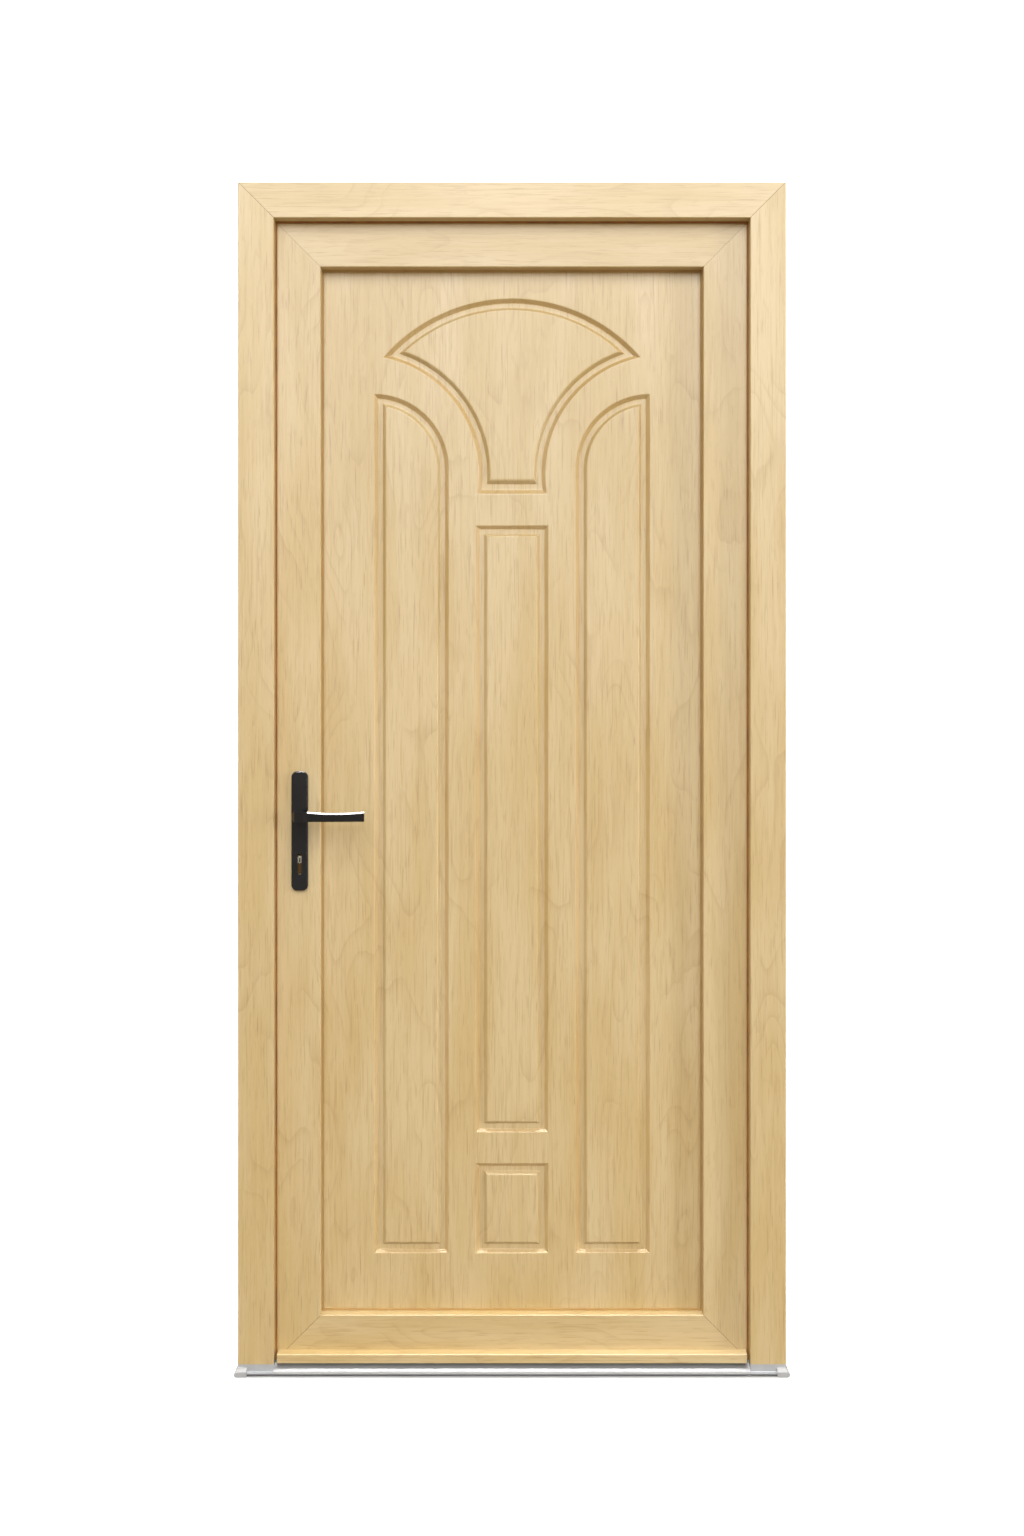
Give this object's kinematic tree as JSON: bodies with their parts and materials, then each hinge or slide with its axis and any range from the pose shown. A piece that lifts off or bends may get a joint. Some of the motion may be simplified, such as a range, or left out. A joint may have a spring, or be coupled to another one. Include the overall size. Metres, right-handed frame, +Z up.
{
  "type": "panelled front door",
  "caption": "Inward-opening panelled front door in its frame, woodgrain foil finish, moulded fan and arched fields, black lever handle and low aluminium threshold.",
  "frame": {"origin": "middle of the threshold's underside, at half the frame's depth", "axes": "+X to the right as seen from outside, -Y towards the outside, +Z up"},
  "size_m": [0.991, 0.19, 2.133],
  "materials": {
    "oak_foil": "woodgrain foil, satin",
    "galvanised_steel": "galvanised",
    "mill_aluminium": "satin anodised",
    "grey_plastic": "matt moulded",
    "seal_rubber": "matt",
    "lock_steel": "zinc plated",
    "nickel_brass": "nickel plated",
    "black_lacquer": "satin black",
    "hinge_brown": "satin brown",
    "foam_core": "closed-cell foam",
    "packer_plastic": "moulded"
  },
  "bodies": {
    "frame": {"frame_jamb_left": "oak_foil", "frame_jamb_right": "oak_foil", "frame_head": "oak_foil", "jamb_steel_left": "galvanised_steel", "jamb_steel_right": "galvanised_steel", "threshold_sill": "mill_aluminium", "threshold_inner": "grey_plastic", "threshold_end_left": "grey_plastic", "threshold_end_right": "grey_plastic", "frame_gasket": "seal_rubber", "strike_plate": "lock_steel", "keeper_lower": "lock_steel", "keeper_upper": "lock_steel", "hinge_frame_leaf_lower": "hinge_brown", "hinge_frame_leaf_middle": "hinge_brown", "hinge_frame_leaf_upper": "hinge_brown", "hinge_pins": "hinge_brown", "frame_screws": "lock_steel"},
    "sash": {"sash_stile_lock": "oak_foil", "sash_stile_hinge": "oak_foil", "sash_rail_top": "oak_foil", "sash_rail_bottom": "oak_foil", "sash_steel_lock": "galvanised_steel", "sash_steel_hinge": "galvanised_steel", "sash_steel_top": "galvanised_steel", "sash_steel_bottom": "galvanised_steel", "drip_bar": "oak_foil", "panel_skin_outer": "oak_foil", "panel_core": "foam_core", "panel_skin_inner": "oak_foil", "glazing_bead_left": "oak_foil", "glazing_bead_right": "oak_foil", "glazing_bead_top": "oak_foil", "glazing_bead_bottom": "oak_foil", "panel_gasket": "seal_rubber", "panel_packers": "packer_plastic", "sash_gasket": "seal_rubber", "lock_faceplate": "lock_steel", "lock_case": "lock_steel", "lock_case_cover": "lock_steel", "cylinder_body": "nickel_brass", "cylinder_screw": "lock_steel", "backplate_outer": "black_lacquer", "backplate_inner": "black_lacquer", "backplate_screws": "lock_steel", "hinge_sash_leaf_lower": "hinge_brown", "hinge_sash_leaf_middle": "hinge_brown", "hinge_sash_leaf_upper": "hinge_brown", "sash_screws": "lock_steel"},
    "handle": {"lever_outer": "black_lacquer", "lever_inner": "black_lacquer", "spindle": "lock_steel", "lock_follower": "lock_steel"},
    "latch": {"latch_bolt": "lock_steel"},
    "deadbolt": {"deadbolt": "lock_steel"},
    "cylinder_rotor": {"cylinder_plug_outer": "nickel_brass", "cylinder_plug_inner": "nickel_brass", "cylinder_cam": "nickel_brass"},
    "slide_bar": {"lock_slide_bar": "lock_steel"}
  },
  "joints": [
    {"name": "door_swing", "type": "hinge", "parent": "frame", "child": "sash", "pos_m": [0.46, 0.068, 1.09], "axis": [0, 0, -1], "range_deg": [0, 110]},
    {"name": "handle_turn", "type": "hinge", "parent": "sash", "child": "handle", "pos_m": [-0.382, 0, 1], "axis": [0, 1, 0], "range_deg": [0, 40], "stiffness_Nm_per_rad": 1, "springref_deg": -57.3},
    {"name": "latch_slide", "type": "slide", "parent": "sash", "child": "latch", "axis": [1, 0, 0], "range_m": [0, 0.0096]},
    {"name": "key_turn", "type": "hinge", "parent": "sash", "child": "cylinder_rotor", "pos_m": [-0.382, 0, 0.92], "axis": [0, -1, 0], "range_deg": [0, 360]},
    {"name": "deadbolt_slide", "type": "slide", "parent": "sash", "child": "deadbolt", "axis": [-1, 0, 0], "range_m": [0, 0.02]},
    {"name": "bar_slide", "type": "slide", "parent": "sash", "child": "slide_bar", "axis": [0, 0, 1], "range_m": [0, 0.018]}
  ],
  "couplings": [
    {"joint": "latch_slide", "follows": "handle_turn", "m_per_rad": 0.013718},
    {"joint": "key_turn", "follows": "bar_slide", "rad_per_m": 349.06},
    {"joint": "deadbolt_slide", "follows": "bar_slide", "ratio": 1.1111}
  ]
}
